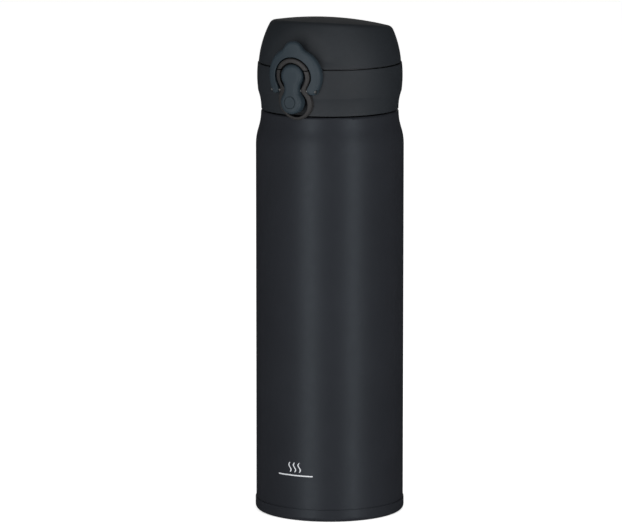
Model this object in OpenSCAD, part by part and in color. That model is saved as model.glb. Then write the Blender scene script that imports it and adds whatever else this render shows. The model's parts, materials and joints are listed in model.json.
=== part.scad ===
// Slim vacuum flask with a push-button lid and a safety ring, in millimetres.
// The origin is the centre of the foot, +Z is up, the button faces -Y and the hinge is at +Y.

/* [Bottle] */
// Outside diameter of the steel body
body_d = 65; // [54:0.5:80]
// Height of the ledge that the cap stands over
ledge_z = 178.5; // [145:0.5:240]
// How far the shoulder draws in
shoulder_step = 2.3; // [1.5:0.1:4]
// Length of the shoulder's curve
shoulder_len = 14.3; // [10:0.1:20]
// Thickness of the outer steel wall
outer_t = 0.35; // [0.3:0.05:0.6]
// Thickness of the inner steel wall
inner_t = 0.3; // [0.25:0.05:0.6]
// Width of the vacuum gap beside the inner wall
vacuum_gap = 1.9; // [1.5:0.1:5]
// Width of the vacuum gap under the inner bottom
bottom_gap = 3.5; // [3:0.1:8]
// Diameter of the mouth
mouth_d = 40; // [32:0.5:42]
// Width of the gap between the neck's two walls
neck_gap = 1.85; // [1.2:0.05:2.5]
// Height of the neck above the ledge
neck_h = 13.5; // [12:0.5:17]

/* [Foot] */
// Height of the foot cover
foot_h = 5.4; // [4.8:0.1:12]
// Thickness of the foot cover's side
foot_t = 0.3; // [0.25:0.05:0.6]
// Radius of the foot's lower edge
foot_edge_r = 2; // [1:0.1:2]
// Depth of the recess under the foot
foot_recess = 1.7; // [1.7:0.1:3]
// Width of the ring that the foot stands on
foot_ring_w = 6; // [3:0.5:10]

/* [Thread] */
// Rise of the cap in one turn
thread_lead = 8; // [7:0.5:10]
// How far the neck's thread stands out
thread_depth = 1.2; // [0.8:0.05:1.3]
// Length of each of the neck's threads, in degrees
neck_thread_deg = 320; // [120:10:320]
// Length of each of the stopper's threads, in degrees
cap_thread_deg = 180; // [60:10:200]

/* [Collar and stopper] */
// Height of the lid's seam above the ledge
seam_h = 20.9; // [20:0.1:26]
// How far the collar widens below its crease
collar_flare = 1.36; // [0.5:0.02:2]
// How far the collar bulges above its crease
collar_belly = 0.44; // [0.2:0.02:1]
// Thickness of the collar's wall at its foot
collar_t = 1.5; // [1.2:0.1:2]
// Thickness of the stopper's skirt and plug
stopper_t = 1.5; // [1.2:0.1:2]
// Thickness of the stopper's deck
deck_t = 1.8; // [1.4:0.1:3]
// Outside diameter of the drinking spout
spout_d = 26.4; // [22:0.2:30]
// Height of the spout's rim above the seam
spout_rise = 9.6; // [7:0.1:10]
// Thickness of the spout's wall
spout_t = 1.6; // [1.2:0.1:2.5]

/* [Lid] */
// Height of the lid's crown above the seam, on the axis
lid_h = 19.65; // [18:0.05:26]
// Radius of the arc of the lid's side
lid_side_r = 44; // [40:1:70]
// Radius of the lid's crown
lid_crown_r = 135; // [110:1:300]
// How far the crown leans down towards the hinge, in degrees
lid_tilt = 5.7; // [0:0.1:9]
// Thickness of the lid's wall
lid_t = 1.8; // [1.4:0.1:2.2]
// Height of the gap seen at the seam
seam_gap = 0.5; // [0.2:0.05:0.8]

/* [Button and its frame] */
// Radius of the button's two round ends
button_r = 5.15; // [4.2:0.05:5.3]
// Distance between the centres of the two ends
button_pitch = 11.5; // [11:0.1:12]
// Half width of the button's waist
button_waist = 3.43; // [2.8:0.01:3.6]
// How far the button's lower end stands in front of the collar
button_out = 5.1; // [4.2:0.1:5.4]
// How far the button leans back towards its top, in degrees
button_lean = 3; // [0:0.5:4]
// Radius of the frame's round ends, outside
frame_r = 7.9; // [7.7:0.05:8.1]
// Width of the frame's rim
frame_w = 1.6; // [1.3:0.05:1.7]
// How far the frame's top stands in front of the collar
frame_out = 3.7; // [3.4:0.1:4]

/* [Safety ring] */
// Radius of the safety ring, outside
ring_r = 12.7; // [12.4:0.1:14]
// Width of the safety ring
ring_w = 3.8; // [3:0.1:3.9]
// How far the safety ring stands in front of the collar
ring_out = 3.3; // [3:0.1:3.6]
// Radius of the finger knob
knob_r = 4.5; // [3:0.1:5.5]
// Height of the finger knob's centre above the ring's centre
knob_h = 10.95; // [9:0.05:12]

/* [Hinge and pins] */
// Radius of the hinge's barrel
barrel_r = 3.3; // [3:0.1:4]
// Half width of the barrel on the lid
barrel_half = 6.5; // [5:0.1:8]
// Width of each ear on the collar
ear_w = 3.2; // [2:0.1:5]
// Radius of the hinge pin
hinge_pin_r = 1.1; // [0.9:0.05:1.3]
// Radius of the front pin
front_pin_r = 0.8; // [0.6:0.05:0.9]
// Thickness of the hinge spring's wire
hinge_wire = 0.5; // [0.3:0.05:0.6]
// Thickness of the button spring's wire
button_wire = 0.5; // [0.3:0.05:0.6]

/* [Fits] */
// Running clearance around a pin
run_fit = 0.05; // [0.03:0.01:0.08]
// Gap between pieces that are fixed to each other side by side
side_fit = 0.05; // [0.02:0.01:0.1]
// Gap between pieces that move past each other
move_fit = 0.35; // [0.3:0.05:0.5]

/* [Hidden] */
$fn = 96;
pin_fn = 40;

// Small sizes used in many places: an overlap that a cut needs, a cut's reach, a press fit
over = 1;
reach = 10;
press_fit = 0.01;

// Bottle: radii and levels
body_r = body_d / 2;
shoulder_top_r = body_r - shoulder_step;
ledge_edge_r = 1;
curve_top_z = ledge_z - ledge_edge_r;
curve_z = curve_top_z - shoulder_len;
curve_r = shoulder_len / (2 * sin(2 * atan(shoulder_step / shoulder_len)));
mouth_r = mouth_d / 2;
neck_r = mouth_r + inner_t + neck_gap + outer_t;
lip_z = ledge_z + neck_h;
inner_r = body_r - outer_t - vacuum_gap - inner_t;
plate_z = foot_recess + 0.4;
shell_z = plate_z + outer_t;
inner_z = shell_z + bottom_gap;
inner_corner_r = 6;
inner_seam_z = inner_z + 9;
dome_r = inner_r - mouth_r;
dome_z = curve_top_z - 1.5 - dome_r;
foil_t = 0.1;
foil_margin = 1;
dimple_r = 6;
dimple_h = 1.2;
vent_r = 1;
plug_bead_r = 3;
plug_bead_t = 0.8;
getter_r = 5;
getter_t = 1.2;
foot_floor_t = 0.4;

// Cap: levels counted from the seam, radii counted from the shoulder
seam_z = ledge_z + seam_h;
gasket_h = 1.3;
deck_z = lip_z + gasket_h;
deck_top_z = deck_z + deck_t;
foot_gap = 0.6;
collar_z = ledge_z + foot_gap;
crease_z = seam_z - 12.5;
collar_foot_r = shoulder_top_r - 0.1;
crease_r = collar_foot_r + collar_flare;
belly_r = crease_r + collar_belly;
belly_rise = 6.7;
belly_z = crease_z + belly_rise;
flare_len = crease_z - collar_z;
flare_r = flare_len / sin(2 * atan(collar_flare / flare_len));
belly_arc_r = (pow(belly_rise, 2) + pow(collar_belly, 2)) / (2 * collar_belly);
collar_in_r = collar_foot_r - collar_t;
shelf_w = 1.4;
deck_r = collar_in_r + shelf_w;
rim_t = 1.4;
rim_r = collar_in_r + 0.4;
rim_top_z = seam_z + 1.6;
rim_root = 0.2;
gasket_side = 0.2;
gasket_ease = 0.05;
boss_half = 6.6;
boss_in = 1.5;
boss_root = 0.3;
boss_above = 1.2;

// Thread
thread_starts = 2;
thread_pitch = thread_lead / thread_starts;
thread_root = 2.1;
thread_crest = 1.2;
thread_embed = 0.15;
thread_step = 10;
thread_fade = 2;
thread_play = 0.45;
skirt_lead = 2;
neck_thread_z = lip_z - 9.4;
skirt_in_r = neck_r + thread_depth + 0.4;
skirt_r = skirt_in_r + stopper_t;
skirt_z = collar_z + 0.9;
cap_thread_z = neck_thread_z - thread_pitch / 2;
cap_thread_from = 360 * (skirt_z + skirt_lead - cap_thread_z) / thread_lead;
plug_r = mouth_r - 0.7;
plug_in_r = plug_r - stopper_t;
plug_z = lip_z - 9;

// Spout
spout_r = spout_d / 2;
spout_in_r = spout_r - spout_t;
spout_z = deck_top_z + 0.5;
spout_top_z = seam_z + spout_rise;
spout_flange_r = plug_in_r + 3.2;
spout_flange_t = 1.2;
spout_cone_h = 5.5;
spout_cone_in = 1;
spout_root = 0.2;
seal_in = 0.3;
seal_out = 0.2;

// Lid
lid_foot_r = belly_r - 0.7;
lid_arc_drop = 3.4;
lid_arc_z = seam_z - lid_arc_drop;
lid_arc_c = lid_foot_r - sqrt(pow(lid_side_r, 2) - pow(lid_arc_drop + seam_gap / 2, 2));
liner_t = 1.4;
liner_z = spout_top_z + 1.6;
liner_r = spout_r + 9;
liner_wall_r = spout_r + 4;
liner_wall_t = 1.6;
seat_r = spout_r + 1.2;
seat_ease = 0.05;
bulb_r = spout_in_r - 1;
bulb_dip = 1.6;

// Button, frame and safety ring, in the plane across the front
top_lobe_z = seam_z - 2.45;
low_lobe_z = top_lobe_z - button_pitch;
pivot_z = seam_z - 9.1;
pivot_y = -(belly_r + 0.8);
frame_top_z = seam_z - 3;
frame_low_z = frame_top_z - 11.1;
frame_waist = 6.3;
opening_low_z = frame_low_z - 0.55;
opening_waist = 4.1;
face_arc_r = 115;
face_arc_deg = 3;
face_arc_y = face_arc_r * cos(face_arc_deg) - belly_r - frame_out;
face_arc_z = frame_top_z + frame_r + face_arc_r * sin(face_arc_deg);
button_back_y = -(belly_r + 0.3);
button_front_y = -(belly_r + button_out);
mark_r = 2.75;
mark_w = 0.35;
mark_depth = 0.3;
hook_half = 2.4;
hook_z = seam_z + 1.15;
hook_h = 0.8;
hook_y = -(lid_foot_r - 1.2);
window_half = hook_half + 0.6;
window_z = [seam_z + 0.9, seam_z + 2.6];
ring_z = seam_z - 2.9;
ring_hole_drop = 0.4;
ring_in_r = ring_r - ring_w;
ring_back_r = belly_r + 0.3;
ring_fillet_r = 4;
ring_lid_fit = move_fit + 0.1;
arm_in = 7.9;
arm_out = sqrt(pow(ring_r, 2) - pow(ring_z - pivot_z, 2));
arm_r = 1.7;
arm_end = 0.3;
arm_room = 0.6;
pin_proud = 0.05;

// Hinge
hinge_out = 1.2;
hinge_y = body_r + hinge_out;
hinge_z = seam_z - 1.4;
ear_in = barrel_half + 0.3;
ear_out = ear_in + ear_w;
coil_half = barrel_half - 2.9;
coil_pocket_r = hinge_pin_r + 1.35;
coil_turns = 6;
coil_ease = 0.2;
coil_play = 0.3;
pin_short = 0.3;
ear_root_r = collar_in_r + 1.2;
ear_foot_z = crease_z + 0.6;
ear_foot_in = 0.4;
ear_head_in = 1;
web_out = 1.2;
web_drop = 0.25;
web_top_z = seam_z + 6.6;
web_t = 1.4;
web_in = 2.5;
web_rim_gap = 0.5;

// Button spring
spring_r = 2;
spring_turns = 4;
spring_ease = 0.05;
spring_play = 0.15;

steel = "silver";
charcoal = [0.20, 0.21, 0.23];
slate = [0.19, 0.24, 0.29];
silicone = [0.85, 0.85, 0.82];

// ---- shapes that several pieces share ----

// Half outline of the shoulder and body, drawn in or out by an inset, up to the ledge
module body_outline(inset) {
    edge_r = ledge_edge_r - inset;
    square([body_r - inset, curve_z]);
    intersection() {
        translate([body_r - curve_r, curve_z])
            circle(curve_r - inset);
        translate([0, curve_z])
            square([body_r, shoulder_len / 2]);
    }
    difference() {
        translate([0, curve_z + shoulder_len / 2])
            square([body_r, shoulder_len / 2]);
        translate([shoulder_top_r + curve_r, curve_top_z])
            circle(curve_r + inset);
    }
    translate([0, curve_top_z])
        square([shoulder_top_r - ledge_edge_r, edge_r]);
    intersection() {
        translate([shoulder_top_r - ledge_edge_r, curve_top_z])
            circle(edge_r);
        translate([0, curve_top_z])
            square([body_r, edge_r]);
    }
}

// Half outline of the inner bottle's outside, drawn in by an inset
module inner_outline(inset) {
    square([inner_r + inner_t - inset, dome_z]);
    intersection() {
        translate([mouth_r + inner_t, dome_z])
            circle(dome_r - inset);
        translate([0, dome_z])
            square([inner_r + inner_t, dome_r]);
    }
    translate([0, dome_z])
        square([mouth_r + inner_t, dome_r - inset]);
    square([mouth_r + inner_t - inset, lip_z + 1]);
}

// Outline of a cup with a round lower edge
module cup_outline(r, z, h, edge) {
    translate([0, z + edge])
        square([r, h - edge]);
    translate([0, z])
        square([r - edge, h]);
    translate([r - edge, z + edge])
        circle(edge);
}

// A ring of revolution with a plain rectangular section
module band(r_in, r_out, z, h) {
    translate([0, 0, z])
        difference() {
            cylinder(r = r_out, h = h);
            translate([0, 0, -1])
                cylinder(r = r_in, h = h + 2);
        }
}

// Section of a thread at one angle: four corners, embedded in its wall
function thread_section(a, z, r_wall, r_tip, fade) =
    let(r_mid = r_wall + (r_tip - r_wall) * fade, tip = thread_crest / 2, root = thread_root / 2)
    [
        [r_wall - sign(r_tip - r_wall) * thread_embed, z - root],
        [r_mid, z - tip],
        [r_mid, z + tip],
        [r_wall - sign(r_tip - r_wall) * thread_embed, z + root]
    ];

// One thread rib along a helix
module thread_rib(z0, a0, turn, r_wall, r_tip) {
    n = round(turn / thread_step);
    points = [
        for (i = [0:n])
            let(a = a0 + i * turn / n, k = min(i, n - i) / thread_fade, fade = min(1, k) * 1.05 - 0.05)
            for (p = thread_section(a, z0 + thread_lead * (i * turn / n) / 360, r_wall, r_tip, fade))
                [p[0] * cos(a), p[0] * sin(a), p[1]]
    ];
    inward = r_tip < r_wall;
    sides = [
        for (i = [0:n - 1], k = [0:3])
            let(a = 4 * i + k, b = 4 * i + (k + 1) % 4)
            each [[a, b, a + 4], [b, b + 4, a + 4]]
    ];
    ends = [[2, 1, 0], [3, 2, 0], [4 * n, 4 * n + 1, 4 * n + 2], [4 * n, 4 * n + 2, 4 * n + 3]];
    faces = concat(sides, ends);
    polyhedron(points, inward ? [for (f = faces) [f[2], f[1], f[0]]] : faces, convexity = 6);
}

// A coil spring along Z, with its ends left open
module coil(r, wire, turns, length) {
    steps = 12;
    sides = 8;
    n = steps * turns;
    points = [
        for (i = [0:n], k = [0:sides - 1])
            let(a = 360 * i / steps, b = 360 * k / sides, s = r + wire / 2 * cos(b))
            [s * cos(a), s * sin(a), wire / 2 * sin(b) + (length - wire) * i / n + wire / 2]
    ];
    tube = [
        for (i = [0:n - 1], k = [0:sides - 1])
            let(a = sides * i + k, b = sides * i + (k + 1) % sides)
            each [[a, b, a + sides], [b, b + sides, a + sides]]
    ];
    first = [for (k = [0:sides - 1]) sides - 1 - k];
    last = [for (k = [0:sides - 1]) sides * n + k];
    polyhedron(points, concat(tube, [first], [last]), convexity = 8);
}

// Puts a flat outline across the front, between two distances in front of the axis
module front(near, far) {
    translate([0, -near, 0])
        rotate([90, 0, 0])
            linear_extrude(far - near)
                children();
}

// Puts an outline drawn in the YZ plane along X, from one x to another
module along_x(from, to) {
    translate([from, 0, 0])
        rotate([90, 0, 90])
            linear_extrude(to - from)
                children();
}

// A round bar along X
module bar_x(r, from, to, y, z) {
    translate([from, y, z])
        rotate([0, 90, 0])
            cylinder(r = r, h = to - from, $fn = pin_fn);
}

// Two round lobes one above the other, joined by a smooth waist
module peanut(r, z_low, z_top, waist) {
    half = (z_top - z_low) / 2;
    fillet = (pow(waist, 2) + pow(half, 2) - pow(r, 2)) / (2 * (r - waist));
    translate([0, z_low])
        circle(r);
    translate([0, z_top])
        circle(r);
    difference() {
        polygon([
            [0, z_low], [waist + fillet, z_low + half], [0, z_top], [-waist - fillet, z_low + half]
        ]);
        for (side = [-1, 1])
            translate([side * (waist + fillet), z_low + half])
                circle(fillet);
    }
}

// The frame's outside, and the opening inside it
module frame_outline() {
    peanut(frame_r, frame_low_z, frame_top_z, frame_waist);
}

module opening_outline() {
    peanut(frame_r - frame_w, opening_low_z, frame_top_z, opening_waist);
}

// The curved front face of the frame, as a solid to keep
module frame_face() {
    low_z = frame_low_z - frame_r - over;
    rotate_extrude()
        intersection() {
            translate([-face_arc_y, face_arc_z])
                circle(face_arc_r, $fn = 200);
            translate([0, low_z])
                square([belly_r + reach, seam_z + lid_h - low_z]);
        }
}

// The collar's outside, as a solid
module collar_form() {
    rotate_extrude() {
        difference() {
            translate([0, collar_z])
                square([crease_r, flare_len]);
            translate([collar_foot_r + flare_r, collar_z])
                circle(flare_r);
        }
        intersection() {
            translate([belly_r - belly_arc_r, belly_z])
                circle(belly_arc_r, $fn = 200);
            translate([0, crease_z])
                square([belly_r + 1, seam_z - seam_gap / 2 - crease_z]);
        }
    }
}

// The lid's outside or inside: the side's arc under the leaning crown, drawn in by an inset
module lid_form(inset, from_z) {
    intersection() {
        rotate_extrude()
            intersection() {
                translate([lid_arc_c, lid_arc_z])
                    circle(lid_side_r - inset, $fn = 200);
                translate([0, from_z])
                    square([lid_foot_r - inset, lid_h + 10]);
            }
        translate([0, 0, seam_z + lid_h])
            rotate([-lid_tilt, 0, 0])
                translate([0, 0, -lid_crown_r])
                    sphere(lid_crown_r - inset, $fn = 300);
    }
}

// ---- the steel bottle ----

module outer_shell() {
    color(steel)
        union() {
            rotate_extrude()
                difference() {
                    union() {
                        body_outline(0);
                        square([neck_r, lip_z - inner_t]);
                    }
                    body_outline(outer_t);
                    square([neck_r - outer_t, lip_z]);
                    square([body_r, shell_z]);
                }
            for (i = [0:thread_starts - 1])
                thread_rib(neck_thread_z, i * 360 / thread_starts, neck_thread_deg,
                    neck_r, neck_r + thread_depth);
        }
}

module shell_bottom() {
    color(steel)
        difference() {
            union() {
                translate([0, 0, plate_z])
                    cylinder(r = body_r, h = outer_t);
                translate([0, 0, plate_z])
                    cylinder(r = dimple_r + outer_t, h = dimple_h + outer_t);
            }
            translate([0, 0, plate_z - over])
                cylinder(r = dimple_r, h = dimple_h + over);
            translate([0, 0, plate_z])
                cylinder(r = vent_r, h = dimple_h + over, $fn = pin_fn);
        }
}

module vacuum_plug() {
    color("dimgray")
        union() {
            translate([0, 0, plate_z + dimple_h - plug_bead_t])
                cylinder(r = plug_bead_r, h = plug_bead_t, $fn = pin_fn);
            translate([0, 0, plate_z + dimple_h - side_fit])
                cylinder(r = vent_r - side_fit, h = outer_t, $fn = pin_fn);
        }
}

module inner_bottle() {
    color("lightgray")
        rotate_extrude() {
            difference() {
                inner_outline(0);
                inner_outline(inner_t);
                square([body_r, inner_seam_z]);
                translate([0, lip_z - inner_t])
                    square([body_r, inner_t + over]);
            }
            translate([mouth_r, lip_z - inner_t])
                square([neck_r - mouth_r, inner_t]);
        }
}

module inner_bottom() {
    color("lightgray")
        rotate_extrude()
            difference() {
                intersection() {
                    cup_outline(inner_r + inner_t, inner_z, inner_seam_z - inner_z, inner_corner_r);
                    square([body_r, inner_seam_z]);
                }
                cup_outline(inner_r, inner_z + inner_t, inner_seam_z - inner_z, inner_corner_r - inner_t);
                translate([-inner_r, 0])
                    square([inner_r, inner_seam_z]);
            }
}

module reflector_foil() {
    color("gainsboro")
        band(inner_r + inner_t + side_fit, inner_r + inner_t + side_fit + foil_t,
            inner_seam_z + foil_margin, dome_z - inner_seam_z - 2 * foil_margin);
}

module getter() {
    color("dimgray")
        translate([0, 0, inner_z - getter_t])
            cylinder(r = getter_r, h = getter_t);
}

module base_cover() {
    ring_in = body_r - foot_edge_r - foot_ring_w;
    color(steel)
        rotate_extrude()
            difference() {
                intersection() {
                    cup_outline(body_r + side_fit + foot_t, 0, foot_h, foot_edge_r);
                    square([body_r + over, foot_h]);
                }
                cup_outline(body_r + side_fit, plate_z, foot_h, press_fit);
                difference() {
                    cup_outline(body_r + side_fit, foot_t, foot_h, foot_edge_r - foot_t);
                    square([ring_in + foot_floor_t, foot_h]);
                }
                translate([-over, -over])
                    square([ring_in + over, foot_recess + over]);
                translate([-body_r, 0])
                    square([body_r, foot_h]);
            }
}

// ---- the cap ----

module mouth_gasket() {
    color(silicone)
        band(plug_r + gasket_side, neck_r - gasket_side, lip_z + gasket_ease, gasket_h - 2 * gasket_ease);
}

// The lower part of the button's frame, which the collar carries
module collar_frame() {
    intersection() {
        front(collar_in_r, belly_r + reach)
            difference() {
                frame_outline();
                translate([-2 * frame_r, seam_z - seam_gap / 2])
                    square([4 * frame_r, frame_r * 2]);
            }
        frame_face();
    }
}

module hinge_ears() {
    for (side = [-1, 1])
        translate([side > 0 ? ear_in : -ear_out, 0, 0])
            along_x(0, ear_w) {
                translate([hinge_y, hinge_z])
                    circle(barrel_r);
                polygon([
                    [ear_root_r, ear_foot_z], [crease_r - ear_foot_in, ear_foot_z],
                    [hinge_y + barrel_r, hinge_z], [hinge_y, hinge_z],
                    [hinge_y - ear_head_in, seam_z - seam_gap / 2], [ear_root_r, seam_z - seam_gap / 2]
                ]);
            }
}

module collar() {
    color(charcoal)
        difference() {
            union() {
                difference() {
                    collar_form();
                    cylinder(r = collar_in_r, h = seam_z + over);
                    translate([0, 0, deck_z])
                        cylinder(r = deck_r + side_fit, h = seam_z);
                }
                collar_frame();
                hinge_ears();
                front(collar_in_r - boss_in, collar_in_r + boss_root)
                    translate([-boss_half, collar_z])
                        square([2 * boss_half, pivot_z + boss_above - collar_z]);
            }
            // inside of the frame: shallow in front of the wall, deeper behind the button's foot
            front(belly_r, belly_r + reach)
                opening_outline();
            front(collar_in_r, belly_r + reach)
                intersection() {
                    opening_outline();
                    translate([-frame_r, 0])
                        square([2 * frame_r, pivot_z + boss_above]);
                }
            // room for the steel shoulder behind the frame's tip
            rotate_extrude()
                intersection() {
                    body_outline(-move_fit);
                    square([body_r + over, ledge_z + move_fit]);
                }
            // room for the deck above the shelf, behind the frame
            translate([0, 0, deck_z])
                cylinder(r = deck_r + side_fit, h = seam_z);
            // room for the lid's barrel between the ears
            bar_x(barrel_r + move_fit, -ear_in, ear_in, hinge_y, hinge_z);
            bar_x(hinge_pin_r + press_fit, -ear_out - over, ear_out + over, hinge_y, hinge_z);
            bar_x(front_pin_r + press_fit, -2 * ring_r, 2 * ring_r, pivot_y, pivot_z);
            // room for the ring's arms to swing
            for (side = [-1, 1])
                bar_x(arm_r + move_fit, side > 0 ? arm_in - arm_end : -arm_out - arm_room,
                    side > 0 ? arm_out + arm_room : -arm_in + arm_end, pivot_y, pivot_z);
        }
}

module stopper() {
    color([0.25, 0.26, 0.28])
        difference() {
            union() {
                band(plug_in_r, deck_r, deck_z, deck_t);
                band(plug_in_r, plug_r, plug_z, deck_z - plug_z);
                band(skirt_in_r, skirt_r, skirt_z, deck_z - skirt_z);
                band(rim_r - rim_t, rim_r, deck_top_z - rim_root, rim_top_z - deck_top_z + rim_root);
                for (i = [0:thread_starts - 1])
                    thread_rib(skirt_z + skirt_lead, cap_thread_from + i * 360 / thread_starts,
                        cap_thread_deg, skirt_in_r, neck_r + thread_play);
            }
            // room for the lid's barrel, where a taller neck lifts the deck to it
            bar_x(barrel_r + move_fit, -ear_in, ear_in, hinge_y, hinge_z);
        }
}

module spout() {
    color([0.22, 0.23, 0.25])
        rotate_extrude() {
            translate([spout_in_r, spout_z])
                square([spout_flange_r - spout_in_r, spout_flange_t]);
            translate([spout_in_r, spout_z])
                square([spout_t, spout_top_z - spout_z - spout_t / 2]);
            translate([spout_in_r + spout_t / 2, spout_top_z - spout_t / 2])
                circle(spout_t / 2);
            polygon([
                [spout_r - spout_root, spout_z], [spout_flange_r - spout_cone_in, spout_z],
                [spout_flange_r - spout_cone_in, spout_z + spout_flange_t],
                [spout_r, spout_z + spout_cone_h], [spout_r - spout_root, spout_z + spout_cone_h]
            ]);
        }
}

module spout_seal() {
    color(silicone)
        band(plug_in_r + seal_in, spout_flange_r - seal_out, deck_top_z, spout_z - deck_top_z);
}

module hinge_pin() {
    color(steel)
        bar_x(hinge_pin_r, -ear_out + pin_short, ear_out - pin_short, hinge_y, hinge_z);
}

module hinge_spring() {
    color("darkgray")
        translate([-coil_half + coil_ease, hinge_y, hinge_z])
            rotate([0, 90, 0])
                coil(hinge_pin_r + coil_play + hinge_wire / 2, hinge_wire, coil_turns,
                    2 * (coil_half - coil_ease));
}

module front_pin() {
    color(steel)
        bar_x(front_pin_r, -arm_out - pin_proud, arm_out + pin_proud, pivot_y, pivot_z);
}

module button_spring() {
    color("darkgray")
        translate([0, -collar_in_r - spring_ease, low_lobe_z])
            rotate([90, 0, 0])
                coil(spring_r, button_wire, spring_turns, -collar_in_r - button_back_y - spring_play);
}

// ---- the button and the safety ring ----

// Side view of the button, from its back plane to its leaning front face
module button_side() {
    lean = tan(button_lean);
    low = low_lobe_z - button_r - over;
    high = top_lobe_z + button_r + over;
    polygon([
        [button_back_y, low], [button_front_y - lean, low],
        [button_front_y + lean * (high - low_lobe_z), high], [button_back_y, high]
    ]);
}

module release_button() {
    color(slate)
        difference() {
            union() {
                intersection() {
                    front(-button_back_y, belly_r + reach)
                        peanut(button_r, low_lobe_z, top_lobe_z, button_waist);
                    along_x(-button_r, button_r)
                        button_side();
                }
                translate([-hook_half, button_back_y - over, hook_z])
                    cube([2 * hook_half, hook_y - button_back_y + over, hook_h]);
            }
            bar_x(front_pin_r + run_fit, -button_r - over, button_r + over, pivot_y, pivot_z);
            front(-button_front_y - mark_depth, belly_r + reach)
                translate([0, low_lobe_z])
                    difference() {
                        circle(mark_r);
                        circle(mark_r - mark_w);
                    }
        }
}

// Outline of the ring down to its pivot, with the knob and the fillets that lead into it
module ring_outline() {
    a = ring_r + ring_fillet_r;
    b = knob_r + ring_fillet_r;
    h = (pow(a, 2) - pow(b, 2) + pow(knob_h, 2)) / (2 * knob_h);
    w = sqrt(pow(a, 2) - pow(h, 2));
    difference() {
        union() {
            translate([0, ring_z])
                circle(ring_r);
            translate([0, ring_z + knob_h])
                circle(knob_r);
            difference() {
                polygon([[0, ring_z], [w, ring_z + h], [0, ring_z + knob_h], [-w, ring_z + h]]);
                for (side = [-1, 1])
                    translate([side * w, ring_z + h])
                        circle(ring_fillet_r);
            }
        }
        translate([0, ring_z - ring_hole_drop])
            circle(ring_in_r);
        translate([-2 * ring_r, pivot_z - 2 * ring_r])
            square([4 * ring_r, 2 * ring_r]);
        translate([-arm_in, pivot_z - over])
            square([2 * arm_in, over + 2]);
    }
}

module lock_ring() {
    color(slate)
        difference() {
            union() {
                intersection() {
                    front(ring_r, belly_r + reach)
                        ring_outline();
                    cylinder(r = belly_r + ring_out, h = ring_z + 2 * ring_r);
                }
                for (side = [-1, 1])
                    bar_x(arm_r, side > 0 ? arm_in : -arm_out + arm_end,
                        side > 0 ? arm_out - arm_end : -arm_in, pivot_y, pivot_z);
            }
            cylinder(r = ring_back_r, h = ring_z + 2 * ring_r + over);
            lid_form(-ring_lid_fit, seam_z - over / 2);
            bar_x(front_pin_r + run_fit, -2 * ring_r, 2 * ring_r, pivot_y, pivot_z);
        }
}

// ---- the lid ----

// The upper arc of the button's frame, which the lid carries
module lid_arch() {
    intersection() {
        front(lid_foot_r - lid_t - over / 2, belly_r + reach)
            intersection() {
                frame_outline();
                translate([-frame_r, seam_z + seam_gap / 2])
                    square([2 * frame_r, frame_r]);
            }
        frame_face();
    }
}

module lid_shell() {
    seam_up_z = seam_z + seam_gap / 2;
    color(charcoal)
        difference() {
            union() {
                difference() {
                    union() {
                        lid_form(0, seam_up_z);
                        lid_arch();
                    }
                    lid_form(lid_t, seam_z - over);
                }
                along_x(-barrel_half, barrel_half) {
                    translate([hinge_y, hinge_z])
                        circle(barrel_r);
                    polygon([
                        [hinge_y, hinge_z], [hinge_y + web_out, hinge_z + barrel_r - web_drop],
                        [lid_foot_r - over, web_top_z], [lid_foot_r - over - web_t, web_top_z],
                        [rim_r + web_rim_gap, seam_up_z], [hinge_y - web_in, seam_up_z]
                    ]);
                }
            }
            // the opening in front of the lid's wall, and the window that the hook reaches into
            difference() {
                front(lid_foot_r - lid_t - over, belly_r + reach)
                    opening_outline();
                lid_form(0, seam_z - over);
            }
            translate([-window_half, -belly_r - over, window_z[0]])
                cube([2 * window_half, lid_t + 3 * over, window_z[1] - window_z[0]]);
            // room for the ears
            for (side = [-1, 1])
                bar_x(barrel_r + move_fit, side > 0 ? barrel_half : -ear_out - move_fit,
                    side > 0 ? ear_out + move_fit : -barrel_half, hinge_y, hinge_z);
            bar_x(hinge_pin_r + run_fit, -ear_out, ear_out, hinge_y, hinge_z);
            bar_x(coil_pocket_r, -coil_half, coil_half, hinge_y, hinge_z);
        }
}

module lid_liner() {
    color([0.3, 0.31, 0.33])
        intersection() {
            union() {
                translate([0, 0, liner_z])
                    cylinder(r = liner_r, h = liner_t);
                band(liner_wall_r, liner_wall_r + liner_wall_t, liner_z, lid_h);
            }
            lid_form(lid_t + side_fit, seam_z - over);
        }
}

module lid_gasket() {
    ball_r = (pow(bulb_r, 2) + pow(bulb_dip, 2)) / (2 * bulb_dip);
    color(silicone)
        union() {
            translate([0, 0, spout_top_z + seat_ease])
                cylinder(r = seat_r, h = liner_z - spout_top_z - seat_ease);
            intersection() {
                translate([0, 0, spout_top_z - bulb_dip + ball_r])
                    sphere(ball_r);
                translate([0, 0, spout_top_z - bulb_dip - over])
                    cylinder(r = bulb_r, h = bulb_dip + 1.5 * over);
            }
        }
}

outer_shell();
shell_bottom();
inner_bottle();
inner_bottom();
reflector_foil();
getter();
vacuum_plug();
base_cover();
mouth_gasket();
collar();
stopper();
spout();
spout_seal();
hinge_pin();
hinge_spring();
front_pin();
button_spring();
release_button();
lock_ring();
lid_shell();
lid_liner();
lid_gasket();
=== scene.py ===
"""Looks of the slim vacuum flask: materials, detailed pieces, floor, lights and camera. Metres, Z up."""
import json
import math

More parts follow.
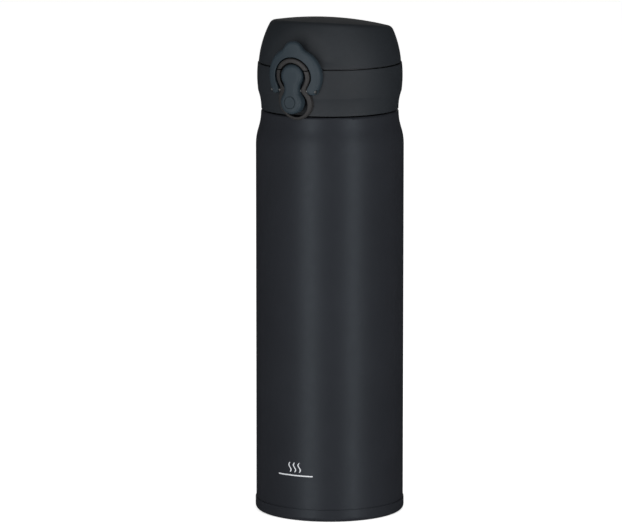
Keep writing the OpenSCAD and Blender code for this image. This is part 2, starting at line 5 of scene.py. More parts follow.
import bmesh
import bpy
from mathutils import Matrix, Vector


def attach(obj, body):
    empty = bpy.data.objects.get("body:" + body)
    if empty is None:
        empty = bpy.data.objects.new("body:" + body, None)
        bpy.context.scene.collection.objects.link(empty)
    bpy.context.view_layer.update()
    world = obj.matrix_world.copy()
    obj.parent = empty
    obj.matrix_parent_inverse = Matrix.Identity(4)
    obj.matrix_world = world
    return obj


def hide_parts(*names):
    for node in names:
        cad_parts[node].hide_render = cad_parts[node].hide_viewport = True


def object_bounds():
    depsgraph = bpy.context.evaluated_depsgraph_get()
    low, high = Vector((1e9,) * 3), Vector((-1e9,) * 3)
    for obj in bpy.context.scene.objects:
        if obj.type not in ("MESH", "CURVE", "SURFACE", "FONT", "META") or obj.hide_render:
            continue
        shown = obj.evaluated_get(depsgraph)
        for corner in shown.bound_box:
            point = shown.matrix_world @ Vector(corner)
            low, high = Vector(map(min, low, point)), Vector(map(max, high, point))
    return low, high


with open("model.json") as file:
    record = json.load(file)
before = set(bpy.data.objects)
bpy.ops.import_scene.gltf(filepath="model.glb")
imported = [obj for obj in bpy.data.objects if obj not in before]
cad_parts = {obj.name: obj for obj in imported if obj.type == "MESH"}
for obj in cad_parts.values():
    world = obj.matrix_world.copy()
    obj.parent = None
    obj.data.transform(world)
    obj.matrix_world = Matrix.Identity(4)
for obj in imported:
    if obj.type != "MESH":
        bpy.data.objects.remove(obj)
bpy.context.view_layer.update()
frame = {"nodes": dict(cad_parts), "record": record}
NODES = frame["nodes"]
MM = 0.001


# ---------------------------------------------------------------- materials

class Shader:
    """A procedural material in the making: one Principled shader fed by patterns in object space."""

    def __init__(self, name, **sockets):
        self.material = bpy.data.materials.new(name)
        self.material.use_nodes = True
        self.tree = self.material.node_tree
        self.tree.nodes.clear()
        self.output = self.add("ShaderNodeOutputMaterial")
        self.shader = self.add("ShaderNodeBsdfPrincipled")
        self.tree.links.new(self.shader.outputs[0], self.output.inputs[0])
        for socket, value in sockets.items():
            self.shader.inputs[socket.replace("_", " ")].default_value = value
        place = self.add("ShaderNodeTexCoord")
        scale = self.add("ShaderNodeVectorMath", operation="MULTIPLY")
        scale.inputs[1].default_value = (1 / MM,) * 3
        self.link(place.outputs["Object"], scale.inputs[0])
        self.place = scale.outputs[0]

    def add(self, kind, **values):
        node = self.tree.nodes.new(kind)
        for key, value in values.items():
            setattr(node, key, value)
        return node

    def link(self, a, b):
        self.tree.links.new(a, b)

    def stretched(self, x, y, z):
        """The place in millimetres, with each axis scaled, for grain that runs one way."""
        node = self.add("ShaderNodeVectorMath", operation="MULTIPLY")
        node.inputs[1].default_value = (x, y, z)
        self.link(self.place, node.inputs[0])
        return node.outputs[0]

    def noise(self, size, detail=2.0, rough=0.5, place=None):
        """Soft noise whose features are about that many millimetres across."""
        node = self.add("ShaderNodeTexNoise")
        node.inputs["Scale"].default_value = 1 / size
        node.inputs["Detail"].default_value = detail
        node.inputs["Roughness"].default_value = rough
        self.link(place or self.place, node.inputs["Vector"])
        return node.outputs["Fac"]

    def spread(self, value, low, high, start=0.3, end=0.7):
        """Maps a pattern onto the range from low to high."""
        node = self.add("ShaderNodeMapRange")
        node.inputs["From Min"].default_value = start
        node.inputs["From Max"].default_value = end
        node.inputs["To Min"].default_value = low
        node.inputs["To Max"].default_value = high
        self.link(value, node.inputs["Value"])
        return node.outputs["Result"]

    def blend(self, factor, first, second):
        """A colour between two, each a colour or a socket."""
        node = self.add("ShaderNodeMix", data_type="RGBA")
        self.link(factor, node.inputs[0])
        for socket, colour in ((node.inputs[6], first), (node.inputs[7], second)):
            if isinstance(colour, tuple):
                socket.default_value = (*colour, 1)
            else:
                self.link(colour, socket)
        return node.outputs[2]

    def colour(self, value):
        self.link(value, self.shader.inputs["Base Color"])

    def roughness(self, value):
        self.link(value, self.shader.inputs["Roughness"])

    def relief(self, *layers):
        """Stacks bumps, each a pattern and its depth in millimetres."""
        before = None
        for height, depth in layers:
            bump = self.add("ShaderNodeBump")
            bump.inputs["Strength"].default_value = 1
            bump.inputs["Distance"].default_value = depth * MM
            self.link(height, bump.inputs["Height"])
            if before:
                self.link(before, bump.inputs["Normal"])
            before = bump.outputs[0]
        self.link(before, self.shader.inputs["Normal"])


def shade(colour, factor):
    return tuple(min(1, c * factor) for c in colour)


def moulded(name, colour, rough, grain=0.22, depth=0.006, gloss=0.4):
    """Moulded plastic with a fine spark-eroded grain and faint clouding."""
    m = Shader(name, Specular_IOR_Level=gloss)
    fine = m.noise(grain, 3, 0.6)
    cloud = m.noise(18, 2)
    scuff = m.noise(2.4, 4, 0.65)
    m.colour(m.blend(m.spread(cloud, 0, 1), shade(colour, 0.93), shade(colour, 1.07)))
    m.roughness(m.spread(scuff, rough - 0.035, rough + 0.035))
    m.relief((scuff, depth * 0.5), (fine, depth))
    return m.material


def painted(name, colour, rough):
    """Satin powder paint on steel: a faint orange peel and tiny specks."""
    m = Shader(name, Specular_IOR_Level=0.14)
    m.shader.inputs["Specular Tint"].default_value = (0.8, 0.92, 1.0, 1)
    peel = m.noise(0.9, 2, 0.5)
    speck = m.noise(0.16, 2, 0.7)
    cloud = m.noise(30, 2)
    base = m.blend(m.spread(cloud, 0, 1), shade(colour, 0.94), shade(colour, 1.06))
    m.colour(m.blend(m.spread(speck, 0, 0.5, 0.62, 0.8), base, shade(colour, 1.9)))
    m.roughness(m.spread(m.noise(3.5, 3), rough - 0.03, rough + 0.03))
    m.relief((peel, 0.004), (speck, 0.0012))
    return m.material


def steel(name, colour, rough, along=(1, 1, 12), depth=0.0015):
    """Bare steel with fine drawn lines across one axis."""
    m = Shader(name, Metallic=1.0)
    lines = m.noise(1.2, 4, 0.7, m.stretched(*along))
    cloud = m.noise(14, 2)
    m.colour(m.blend(m.spread(cloud, 0, 1), shade(colour, 0.92), shade(colour, 1.06)))
    m.roughness(m.spread(lines, rough - 0.05, rough + 0.07))
    m.relief((lines, depth))
    return m.material


def silicone():
    m = Shader("silicone", Subsurface_Weight=0.25, Roughness=0.45)
    m.shader.inputs["Subsurface Radius"].default_value = (0.004, 0.004, 0.003)
    m.shader.inputs["Subsurface Scale"].default_value = 0.3
    cloud = m.noise(5, 2)
    m.colour(m.blend(m.spread(cloud, 0, 1), (0.52, 0.51, 0.47), (0.6, 0.59, 0.55)))
    m.relief((m.noise(0.4, 3), 0.004))
    return m.material


def foil():
    m = Shader("foil", Metallic=1.0)
    crinkle = m.noise(2.2, 4, 0.6)
    m.colour(m.blend(m.spread(crinkle, 0, 1), (0.74, 0.74, 0.75), (0.86, 0.86, 0.86)))
    m.roughness(m.spread(crinkle, 0.16, 0.3))
    m.relief((crinkle, 0.12))
    return m.material


def fired_glass():
    m = Shader("sealing_glass", Specular_IOR_Level=0.6)
    blot = m.noise(0.8, 3)
    m.colour(m.blend(m.spread(blot, 0, 1), (0.10, 0.10, 0.11), (0.2, 0.2, 0.21)))
    m.roughness(m.spread(blot, 0.12, 0.3))
    m.relief((blot, 0.03))
    return m.material


LOOKS = {
    "painted_steel": painted("painted_steel", (0.0125, 0.0135, 0.0165), 0.40),
    "foot_steel": painted("foot_steel", (0.0125, 0.0135, 0.0165), 0.40),
    "bare_steel": steel("bare_steel", (0.55, 0.55, 0.54), 0.24),
    "foil": foil(),
    "getter_metal": steel("getter_metal", (0.25, 0.25, 0.25), 0.55, (1, 1, 1), 0.02),
    "sealing_glass": fired_glass(),
    "charcoal_plastic": moulded("charcoal_plastic", (0.0098, 0.0122, 0.0152), 0.62, gloss=0.27),
    "slate_plastic": moulded("slate_plastic", (0.0125, 0.021, 0.028), 0.6, gloss=0.3),
    # The frame's plastic is a warmer, lighter grey than the charcoal of the lid and collar; its extra
    # lightness is painted light on the raised rim.
    "frame_plastic": moulded("frame_plastic", (0.017, 0.0165, 0.0168), 0.55, gloss=0.3),
    "print": moulded("print", (0.42, 0.43, 0.45), 0.4, 0.5, 0.002),
    "inner_plastic": moulded("inner_plastic", (0.03, 0.031, 0.034), 0.4, 0.4, 0.003, 0.5),
    "spout_plastic": moulded("spout_plastic", (0.026, 0.027, 0.03), 0.35, 0.4, 0.002, 0.5),
    "silicone": silicone(),
    "pin_steel": steel("pin_steel", (0.42, 0.42, 0.42), 0.3, (0.2, 6, 6)),
    "spring_steel": steel("spring_steel", (0.5, 0.5, 0.5), 0.28, (2, 2, 2)),
}

for part in frame["record"]["subparts"]:
    mesh = NODES[part["node"]].data
    mesh.materials.clear()
    mesh.materials.append(LOOKS[part["material_slot"]])


# ---------------------------------------------------------------- shapes in plain formulas, in millimetres

SEAM_Z = 199.4
SEAM_HALF = 0.25
FRONT_PIN = (-32.7, 190.3)
RING_Z = 196.5
HINGE = (33.7, 198.0)


def ease(t):
    """A smooth step from 0 to 1."""
    t = min(1.0, max(0.0, t))
    return t * t * (3 - 2 * t)


def peanut(r, z_low, z_top, waist, inset=0.0, lobe=40, side=14):
    """Two round lobes joined by a smooth waist, as points (x, z)."""
    half, mid = (z_top - z_low) / 2, (z_top + z_low) / 2
    fillet = (waist ** 2 + half ** 2 - r ** 2) / (2 * (r - waist))
    reach = waist + fillet
    lean = math.atan2(half, reach)
    points = []

    def arc(x, z, radius, start, end, count):
        for i in range(count):
            a = start + (end - start) * i / count
            points.append((x + radius * math.cos(a), z + radius * math.sin(a)))

    arc(reach, mid, fillet + inset, math.pi + lean, math.pi - lean, side)
    arc(0, z_top, r - inset, -lean, math.pi + lean, lobe)
    arc(-reach, mid, fillet + inset, lean, -lean, side)
    arc(0, z_low, r - inset, math.pi - lean, 2 * math.pi + lean, lobe)
    return points


def side_radius(z, inset=0.0):
    """Radius of the lid's side at a height: one arc, whose centre is below the seam."""
    foot, arc, drop, centre_z = 31.2, 44, 3.6, 196
    return foot - math.sqrt(arc ** 2 - drop ** 2) + math.sqrt((arc - inset) ** 2 - (z - centre_z) ** 2)


def crown_z(x, y, inset=0.0):
    """Height of the lid's leaning crown."""
    radius, lean, height = 135.0, math.radians(5.7), 19.65
    y0, z0 = -radius * math.sin(lean), SEAM_Z + height - radius * math.cos(lean)
    return z0 + math.sqrt((radius - inset) ** 2 - x * x - (y - y0) ** 2)


def collar_radius(z):
    """Radius of the collar's outside: flared below its crease, bulging above it."""
    foot, crease, belly = 179.1, 186.9, 193.6
    under_foot_r, foot_r, belly_r = 30.6, 30.1, 31.9
    flare, bulge = 23.05, 51.2
    if z < foot:
        return under_foot_r
    if z < crease:
        return foot_r + flare - math.sqrt(flare ** 2 - (z - foot) ** 2)
    return belly_r - bulge + math.sqrt(bulge ** 2 - (z - belly) ** 2)


def wrapped(radius, x):
    """How far forward a surface of that radius round the flask's axis is, at a distance x to the side."""
    return -math.sqrt(radius ** 2 - x ** 2)


def frame_y(x, z):
    """How far the front of the button's frame stands out: an arc that leans in towards its foot."""
    arc, centre_z, set_back = 115, 210.32, 79.24
    return wrapped(math.sqrt(arc ** 2 - (z - centre_z) ** 2) - set_back, x)


# ---------------------------------------------------------------- meshes

def solid(name, points, faces):
    """An object from points in millimetres."""
    mesh = bpy.data.meshes.new(name)
    mesh.from_pydata([tuple(c * MM for c in p) for p in points], [], faces)
    form = bmesh.new()
    form.from_mesh(mesh)
    bmesh.ops.remove_doubles(form, verts=form.verts, dist=1e-7)
    bmesh.ops.recalc_face_normals(form, faces=form.faces)
    form.to_mesh(mesh)
    form.free()
    piece = bpy.data.objects.new(name, mesh)
    bpy.context.scene.collection.objects.link(piece)
    return piece


def skin(name, loops, ring=False):
    """A closed skin over loops of points. A ring joins its last loop to its first, else both ends close."""
    n = len(loops[0])
    points = [p for loop in loops for p in loop]
    faces = []
    for i in range(len(loops) if ring else len(loops) - 1):
        a, b = i * n, (i + 1) % len(loops) * n
        faces += [(a + k, a + (k + 1) % n, b + (k + 1) % n, b + k) for k in range(n)]
    if not ring:
        faces += [tuple(range(n)), tuple(range((len(loops) - 1) * n, len(loops) * n))]
    return solid(name, points, faces)


def prism(name, outline, low, high, bevel=0.0):
    """A block along X from an outline in (y, z)."""
    loops = [[(x, y, z) for y, z in outline] for x in (low, high)]
    block = skin(name, loops)
    if bevel:
        soften(block, bevel)
    return block


def bar(name, radius, low, high, y, z, count=32):
    """A round bar along X."""
    turn = [2 * math.pi * i / count for i in range(count)]
    return prism(name, [(y + radius * math.cos(a), z + radius * math.sin(a)) for a in turn], low, high)


def box_of(name, low, high):
    (x0, y0, z0), (x1, y1, z1) = low, high
    return prism(name, [(y0, z0), (y1, z0), (y1, z1), (y0, z1)], x0, x1)


def applied(piece):
    """Makes a piece's modifiers part of its mesh."""
    graph = bpy.context.evaluated_depsgraph_get()
    mesh = bpy.data.meshes.new_from_object(piece.evaluated_get(graph))
    piece.modifiers.clear()
    piece.data = mesh


def soften(piece, width, segments=3):
    bevel = piece.modifiers.new("bevel", "BEVEL")
    bevel.width = width * MM
    bevel.segments = segments
    bevel.limit_method = "ANGLE"
    bevel.angle_limit = math.radians(30)
    applied(piece)


def join(piece, other, how="UNION"):
    """Adds another solid to a piece, or cuts it away, and removes the other one."""
    change = piece.modifiers.new("join", "BOOLEAN")
    change.operation = how
    change.solver = "EXACT"
    change.object = other
    applied(piece)
    bpy.data.objects.remove(other)


def finish_piece(piece, look, body, stands_for=None, sharp=32):
    """Shading, material and place of a finished piece."""
    mesh = piece.data
    mesh.materials.clear()
    mesh.materials.append(look)
    for face in mesh.polygons:
        face.use_smooth = True
        face.material_index = 0
    mesh.set_sharp_from_angle(angle=math.radians(sharp))
    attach(piece, body)
    if stands_for:
        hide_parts(stands_for)


# ---------------------------------------------------------------- the button

def make_button():
    """The pillowed figure-of-eight button with its round groove, its hook and the pin's hole."""
    size = (5.15, 185.45, 196.95, 3.43)
    back, edge = -32.2, 1.9

    def face_y(z):
        return -37.05 + 0.041 * (z - 179.3)

    def loop(inset, y):
        return [(x, y if y is not None else face_y(z), z) for x, z in peanut(*size, inset)]

    loops = [loop(0.6, back), loop(0.15, back), loop(0.0, back - 0.15)]
    for i in range(9):
        a = math.pi / 2 * i / 8
        inset, rise = edge * (1 - math.cos(a)), edge * (1 - math.sin(a))
        loops.append([(x, y + rise, z) for x, y, z in loop(inset, None)])
    for inset in (2.2, 2.5, 2.9, 3.3):
        loops.append([(x, y - 0.05 * (inset - edge) / 2, z) for x, y, z in loop(inset, None)])
    button = skin("button_face", loops)
    hook_low, hook_high = (-2.4, -33.4, 200.55), (2.4, -30.0, 201.35)
    hook = box_of("hook", hook_low, hook_high)
    soften(hook, 0.15)
    join(button, hook)
    groove = []
    for i in range(64):
        a = 2 * math.pi * i / 64
        for_ring = []
        for k in range(8):
            b = 2 * math.pi * k / 8
            r = 2.6 + 0.19 * math.cos(b)
            z = size[1] + r * math.sin(a)
            for_ring.append((r * math.cos(a), face_y(z) + 0.28 * math.sin(b) + 0.02, z))
        groove.append(for_ring)
    join(button, skin("groove", groove, ring=True), "DIFFERENCE")
    join(button, bar("hole", 0.86, -7, 7, *FRONT_PIN), "DIFFERENCE")
    finish_piece(button, LOOKS["slate_plastic"], "button", "release_button", 40)


# ---------------------------------------------------------------- the safety ring

RING_MID = 10.95
RING_HALF = 1.75
RING_FRONT, RING_BACK = 35.2, 32.2


def ring_outer(turn):
    """Outer radius of the safety ring at an angle from the top: a circle, a fillet, and the finger knob."""
    outer, knob, lift, fillet = 12.7, 4.5, 10.95, 4.0
    a, b = outer + fillet, knob + fillet
    z = (a * a - b * b + lift * lift) / (2 * lift)
    away = math.atan2(math.sqrt(a * a - z * z), z)
    x_touch = math.sqrt(a * a - z * z) * knob / b
    z_touch = lift + (z - lift) * knob / b
    near = math.atan2(x_touch, z_touch)
    turn = abs(turn)
    if turn < near:
        return lift * math.cos(turn) + math.sqrt(knob ** 2 - (lift * math.sin(turn)) ** 2)
    if turn < away:
        d = away - turn
        return a * math.cos(d) - math.sqrt(fillet ** 2 - (a * math.sin(d)) ** 2)
    return outer


def ring_inner(turn):
    """Inner radius at the same angle: a hole that sits a little low."""
    hole, drop = 8.9, 0.4
    return math.sqrt(hole ** 2 - (drop * math.sin(turn)) ** 2) - drop * math.cos(turn)


def ring_section(inner, outer):
    """Section of the ring across its band: (distance outwards from the middle, depth), front then back."""
    front, back = -RING_FRONT, -RING_BACK
    low, wide, deep = 0.35, 1.5, 1.5
    points = []
    for i in range(7):
        a = math.pi / 2 * i / 6
        points.append((-inner + low * (1 - math.cos(a)), front + low * (1 - math.sin(a))))
    start, end = -inner + low, outer - wide
    points += [(start + (end - start) * i / 5, front) for i in range(1, 5)]
    for i in range(10):
        a = math.pi / 2 * i / 9
        points.append((outer - wide + wide * math.sin(a), front + deep * (1 - math.cos(a))))
    points += [(outer, back - 0.4), (outer - 0.4, back)]
    points += [(outer - 0.4 - (outer + inner - 0.8) * i / 5, back) for i in range(1, 5)]
    points += [(-inner + 0.4, back), (-inner, back - 0.4), (-inner, (front + back) / 2)]
    return points


def make_ring():
    """The safety ring: a rounded band with a finger knob on top, two arms and hubs at the pin."""
    bend = math.radians(114)
    straight, spread, tip = 3.5, 0.5, 0.06
    length = RING_MID * bend + straight
    stations = [length - RING_HALF * (1 - math.cos(math.pi / 2 * i / 8)) for i in range(9)]
    count = 74
    span = length - RING_HALF
    middles = [-span + 2 * span * i / count for i in range(count + 1)]
    path = sorted(set([-s for s in stations] + middles + stations))
    loops = []
    for s in path:
        arc = max(-bend, min(bend, s / RING_MID))
        past = abs(s) - RING_MID * bend
        x, z = RING_MID * math.sin(arc), RING_MID * math.cos(arc)
        if past > 0:
            x += math.copysign(past, s) * math.cos(bend)
            z -= past * math.sin(bend)
        end = max(0.0, (abs(s) - span) / RING_HALF)
        full = max(tip, math.sqrt(max(0.0, 1 - end * end)))
        inner = RING_MID - ring_inner(arc) + spread * ease((abs(s) - RING_MID * math.pi / 2) / RING_MID * 2)
        middle = -(RING_FRONT + RING_BACK) / 2
        loop = []
        for n, depth in ring_section(inner, ring_outer(arc) - RING_MID):
            px = x + n * full * math.sin(arc)
            thick = middle + (depth - middle) * (0.35 + 0.65 * full)
            loop.append((px, wrapped(thick, px), RING_Z + z + n * full * math.cos(arc)))
        loops.append(loop)
    ring = skin("safety_ring", loops)
    hub_radius, hub_in, hub_out = 1.2, 7.2, 9.0
    for low, high in ((hub_in, hub_out), (-hub_out, -hub_in)):
        join(ring, bar("hub", hub_radius, low, high, *FRONT_PIN))
    join(ring, bar("hole", 0.85, -14, 14, *FRONT_PIN), "DIFFERENCE")
    finish_piece(ring, LOOKS["slate_plastic"], "lock_ring", "lock_ring", 40)


def make_pin():
    """The polished pin through the arms, with domed ends."""
    end, radius, dome = 10.85, 0.8, 0.1
    rise = [math.pi / 2 * i / 6 for i in range(6)]
    outline = [(end + dome * math.sin(a), radius * math.cos(a)) for a in rise]
    profile = [(-x, r) for x, r in reversed(outline)] + outline
    profile = [(-end - dome, 0.02)] + profile + [(end + dome, 0.02)]
    turns = [2 * math.pi * i / 24 for i in range(24)]
    y, z = FRONT_PIN
    loops = [[(x, y + r * math.cos(a), z + r * math.sin(a)) for a in turns] for x, r in profile]
    pin = skin("arm_pin", loops)
    finish_piece(pin, LOOKS["pin_steel"], "cap", "front_pin", 40)


# ---------------------------------------------------------------- the button's frame

def frame_band(name, base_y):
    """The rim round the button: a band with soft edges between the outer outline and the opening."""
    outer, inner = peanut(7.9, 185.3, 196.4, 6.3), peanut(6.3, 184.75, 196.4, 4.1)
    out_by, in_by, proud = 0.25, 0.12, 0.2
    outer_edge, inner_edge, root = 0.75, 0.5, 0.12
    loops = []
    for (x, z), (u, w) in zip(outer, inner):
        wide = math.hypot(x - u, z - w)
        across = ((u - x) / wide, (w - z) / wide)
        foot = base_y(x, z)
        section = []

        def place(d, rise):
            px, pz = x + across[0] * d, z + across[1] * d
            section.append((px, min(frame_y(px, pz) - proud + rise, foot), pz))

        def sink(d):
            section.append((x + across[0] * d, foot + root, z + across[1] * d))

        sink(-out_by)
        for i in range(7):
            a = math.pi / 2 * i / 6
            place(-out_by + outer_edge * (1 - math.cos(a)), outer_edge * (1 - math.sin(a)))
        for i in range(7):
            a = math.pi / 2 * i / 6
            place(wide + in_by - inner_edge * (1 - math.sin(a)), inner_edge * (1 - math.cos(a)))
        sink(wide + in_by)
        loops.append(section)
    return skin(name, loops, ring=True)


def make_frame():
    """The frame in two pieces, parted at the lid's seam: the foot on the collar and the arch on the lid."""
    far, deep = 20, 50

    def on_collar(x, z):
        return wrapped(collar_radius(z), x)

    def on_lid(x, z):
        return wrapped(side_radius(z), x)

    foot = frame_band("frame_foot", on_collar)
    above = box_of("cut", (-far, -deep, SEAM_Z - SEAM_HALF), (far, -far, SEAM_Z + far))
    join(foot, above, "DIFFERENCE")
    # Both frame pieces take the frame's plastic, whose lighter tone is painted light on the raised rim.
    finish_piece(foot, LOOKS["frame_plastic"], "cap")
    arch = frame_band("frame_arch", on_lid)
    below = box_of("cut", (-far, -deep, SEAM_Z - 2 * far), (far, -far, SEAM_Z + SEAM_HALF))
    join(arch, below, "DIFFERENCE")
    finish_piece(arch, LOOKS["frame_plastic"], "lid")


# ---------------------------------------------------------------- the lid

# Points of the lid's outside in one section: over the crown, round its edge, and down the side
CROWN_POINTS, EDGE_POINTS, SIDE_POINTS = 13, 11, 26


def lid_profile(turn):
    """Section of the lid's shell at an angle: from the middle of the crown out, down and back inside."""
    c, s = math.cos(turn), math.sin(turn)
    wall, edge, lip, foot = 1.8, 1.6, 0.3, SEAM_Z + SEAM_HALF

    def corner(inset):
        r = 26.0
        for _ in range(30):
            r = side_radius(crown_z(r * c, r * s, inset), inset)
        return r

    rim = corner(0)
    rim_z = crown_z(rim * c, rim * s)
    points = [(r, crown_z(r * c, r * s)) for r in [rim * k / 14 for k in range(CROWN_POINTS)]]
    start = (rim - edge, crown_z((rim - edge) * c, (rim - edge) * s))
    low = rim_z - edge
    end = (side_radius(low), low)
    for i in range(EDGE_POINTS):
        t = i / (EDGE_POINTS - 1)
        points.append(tuple(
            (1 - t) ** 2 * start[k] + 2 * t * (1 - t) * (rim, rim_z)[k] + t * t * end[k] for k in range(2)
        ))
    down = [low + (foot + lip - low) * i / SIDE_POINTS for i in range(1, SIDE_POINTS + 1)]
    points += [(side_radius(z), z) for z in down]
    points += [(side_radius(foot) - 0.07, foot + 0.08), (side_radius(foot) - lip, foot)]
    inner = corner(wall)
    inner_z = crown_z(inner * c, inner * s, wall)
    points += [(side_radius(foot, wall) + 0.1, foot)]
    up = [foot + (inner_z - foot) * i / 10 for i in range(1, 11)]
    points += [(side_radius(z, wall), z) for z in up]
    points += [(r, crown_z(r * c, r * s, wall)) for r in [inner * k / 8 for k in range(7, -1, -1)]]
    return points


def scooped(x, y, z):
    """The shallow dish in the lid's front, behind the safety ring and its knob."""
    if y > 0:
        return x, y, z
    rise, deepest, reach, slope, seam_margin, seam_slope, crown_r = 2, 1.15, 19.5, 8.0, 0.2, 4, 24
    away = math.hypot(x, z - (RING_Z + rise))
    depth = deepest * ease((reach - away) / slope) * ease((z - SEAM_Z - seam_margin) / seam_slope)
    r = math.hypot(x, y)
    if r < crown_r:
        return x, y, z
    k = (r - depth) / r
    return x * k, y * k, z


def make_lid():
    """The lid's shell with a soft top edge, the dish behind the ring, the hinge barrel and the window."""
    count = 192
    outside = CROWN_POINTS + EDGE_POINTS + SIDE_POINTS
    loops = []
    for i in range(count):
        turn = 2 * math.pi * i / count
        profile = lid_profile(turn)
        shell = [(r * math.cos(turn), r * math.sin(turn), z) for r, z in profile]
        shell = [scooped(*p) if k < outside else p for k, p in enumerate(shell)]
        loops.append(shell)
    n = len(loops[0])
    points = [p for loop in loops for p in loop]
    faces = []
    for i in range(count):
        a, b = i * n, (i + 1) % count * n
        faces += [(a + k, a + k + 1, b + k + 1, b + k) for k in range(n - 1)]
    lid = solid("lid_cover", points, faces)
    y, z = HINGE
    radius = 3.3
    arc = [math.radians(150 + 278 * i / 40) for i in range(41)]
    outline = [(y + radius * math.cos(a), z + radius * math.sin(a)) for a in arc]
    outline += [(30.2, SEAM_Z + 6.6), (28.8, SEAM_Z + 6.6)]
    join(lid, prism("barrel", outline, -6.5, 6.5, 0.25))
    for low, high in ((6.5, 10.35), (-10.35, -6.5)):
        join(lid, bar("ear_room", 3.65, low, high, y, z, 48), "DIFFERENCE")
    join(lid, bar("pin_hole", 1.15, -10, 10, y, z), "DIFFERENCE")
    join(lid, bar("coil_room", 2.45, -3.6, 3.6, y, z), "DIFFERENCE")
    join(lid, box_of("window", (-3, -33, SEAM_Z + 0.9), (3, -28, SEAM_Z + 2.6)), "DIFFERENCE")
    finish_piece(lid, LOOKS["charcoal_plastic"], "lid", "lid_shell", 32)


# ---------------------------------------------------------------- the printed mark

def on_body(u, z, lift):
    """A point on the body's front, u along its surface."""
    body = 32.5
    r = body + lift
    return r * math.sin(u / body), -r * math.cos(u / body), z


def ribbon(name, rails):
    """A thin raised print on the body between two rails of points (u, z)."""
    loops = []
    for (u, z), (v, w) in rails:
        row = [(u + (v - u) * k / 3, z + (w - z) * k / 3) for k in range(4)]
        loops.append([on_body(*p, 0.045) for p in row] + [on_body(*p, -0.05) for p in reversed(row)])
    return skin(name, loops)


def make_mark():
    """A plain printed sign low on the front: three wisps of steam over a line."""
    bottom, width, thick = 20.0, 17.0, 0.55
    gap, tall, apart, sway = 1.6, 4.4, 2.3, 0.55
    count = 28
    places = [width * (i / count - 0.5) for i in range(count + 1)]
    rails = [((u, bottom), (u, bottom + thick)) for u in places]
    mark = ribbon("print_line", rails)
    finish_piece(mark, LOOKS["print"], "flask")
    for k in (-1, 0, 1):
        rails = []
        for i in range(25):
            t = i / 24
            z = bottom + gap + tall * t
            u = k * apart + sway * math.sin(2 * math.pi * t)
            half = thick / 2 * math.sqrt(max(0.03, 1 - (2 * t - 1) ** 8))
            rails.append(((u - half, z), (u + half, z)))
        wisp = ribbon(f"print_wisp_{k + 2}", rails)
        finish_piece(wisp, LOOKS["print"], "flask")


make_button()
make_ring()
make_pin()
make_frame()
make_lid()
make_mark()


# ---------------------------------------------------------------- stage, lights and camera

VIEW_AZIMUTH = math.radians(28.5)
VIEW_ELEVATION = math.radians(9.4)
VIEW_DISTANCE = 2.28
LENS = 299.3
AIM_LEFT = 0.0083
AIM_UP = -0.0002
low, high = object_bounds()
CENTRE = (low + high) / 2
to_camera = Vector((math.sin(VIEW_AZIMUTH), -math.cos(VIEW_AZIMUTH), 0))
to_right = Vector((math.cos(VIEW_AZIMUTH), math.sin(VIEW_AZIMUTH), 0))
UP = Vector((0, 0, 1))


def make_camera():
    back = to_camera * math.cos(VIEW_ELEVATION) + UP * math.sin(VIEW_ELEVATION)
    data = bpy.data.cameras.new("camera")
    data.lens = LENS
    data.sensor_width = 36
    data.clip_start, data.clip_end = 0.05, 300
    camera = bpy.data.objects.new("camera", data)
    aim = CENTRE - to_right * AIM_LEFT + UP * AIM_UP
    camera.location = aim + back * VIEW_DISTANCE
    camera.rotation_mode = "QUATERNION"
    camera.rotation_quaternion = back.to_track_quat("Z", "Y")
    bpy.context.scene.collection.objects.link(camera)
    bpy.context.scene.camera = camera


def softbox(name, turn, distance, height, width, tall, power, aim=None):
    """A soft rectangular light: turn is degrees to the right of the camera, aim is the height it faces."""
    a = math.radians(turn)
    data = bpy.data.lights.new(name, "AREA")
    data.shape = "RECTANGLE"
    data.size, data.size_y = width, tall
    data.energy = power
    light = bpy.data.objects.new(name, data)
    away = to_camera * math.cos(a) + to_right * math.sin(a)
    light.location = away * distance + UP * height
    target = UP * (height if aim is None else aim)
    light.rotation_mode = "QUATERNION"
    light.rotation_quaternion = (light.location - target).to_track_quat("Z", "Y")
    bpy.context.scene.collection.objects.link(light)
    return light


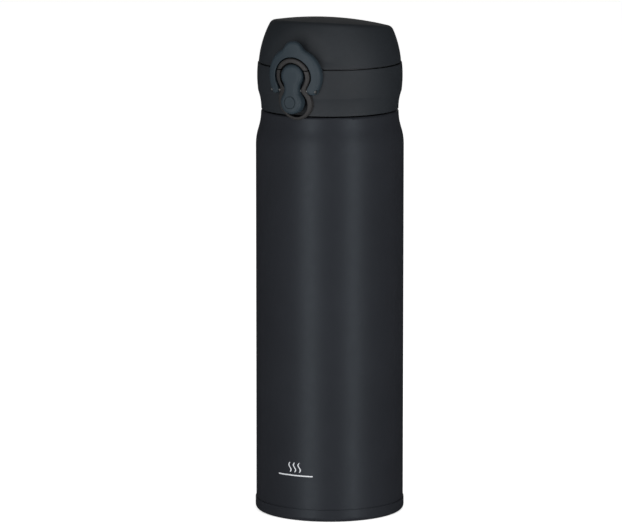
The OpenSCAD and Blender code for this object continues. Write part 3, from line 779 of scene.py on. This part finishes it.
def make_floor():
    half = 60.0
    form = bmesh.new()
    corners = [form.verts.new((x * half, y * half, 0)) for x, y in ((-1, -1), (1, -1), (1, 1), (-1, 1))]
    form.faces.new(corners)
    mesh = bpy.data.meshes.new("floor")
    form.to_mesh(mesh)
    floor = bpy.data.objects.new("floor", mesh)
    m = Shader("floor", Roughness=0.9, Specular_IOR_Level=0.1, Emission_Strength=0.66)
    m.shader.inputs["Emission Color"].default_value = (1, 1, 1, 1)
    m.colour(m.blend(m.noise(60, 3), (0.84, 0.84, 0.84), (0.86, 0.86, 0.86)))
    mesh.materials.append(m.material)
    bpy.context.scene.collection.objects.link(floor)
    floor.visible_glossy = False
    floor.visible_shadow = False


def make_world(seen, ambient, mirrored):
    """The surroundings: the pale backdrop that the camera sees, and a dimmer one in reflections."""
    world = bpy.data.worlds.new("studio")
    bpy.context.scene.world = world
    world.use_nodes = True
    tree = world.node_tree
    tree.nodes.clear()
    rays = tree.nodes.new("ShaderNodeLightPath")
    back = tree.nodes.new("ShaderNodeBackground")
    out = tree.nodes.new("ShaderNodeOutputWorld")
    glossy = tree.nodes.new("ShaderNodeMix")
    glossy.inputs[2].default_value, glossy.inputs[3].default_value = ambient, mirrored
    camera = tree.nodes.new("ShaderNodeMix")
    camera.inputs[3].default_value = seen
    tree.links.new(rays.outputs["Is Glossy Ray"], glossy.inputs[0])
    tree.links.new(glossy.outputs[0], camera.inputs[2])
    tree.links.new(rays.outputs["Is Camera Ray"], camera.inputs[0])
    tree.links.new(camera.outputs[0], back.inputs["Strength"])
    tree.links.new(back.outputs[0], out.inputs[0])


make_camera()
make_floor()
make_world(seen=1.0, ambient=0.5, mirrored=0.03)
softbox("left_box", -31, 1.0, 0.10, 0.36, 1.0, 6.0)
softbox("right_box", 36.5, 1.0, 0.10, 0.34, 1.0, 5.6)
softbox("front_box", 14, 0.7, 1.0, 0.5, 0.35, 2.2, aim=0.2)
softbox("back_box", 180, 1.2, 0.7, 0.8, 1.2, 1.0)
softbox("top_box", 180, 0.2, 1.2, 0.8, 0.8, 1, aim=0.2).visible_glossy = False
view = bpy.context.scene.view_settings
view.view_transform = "Standard"
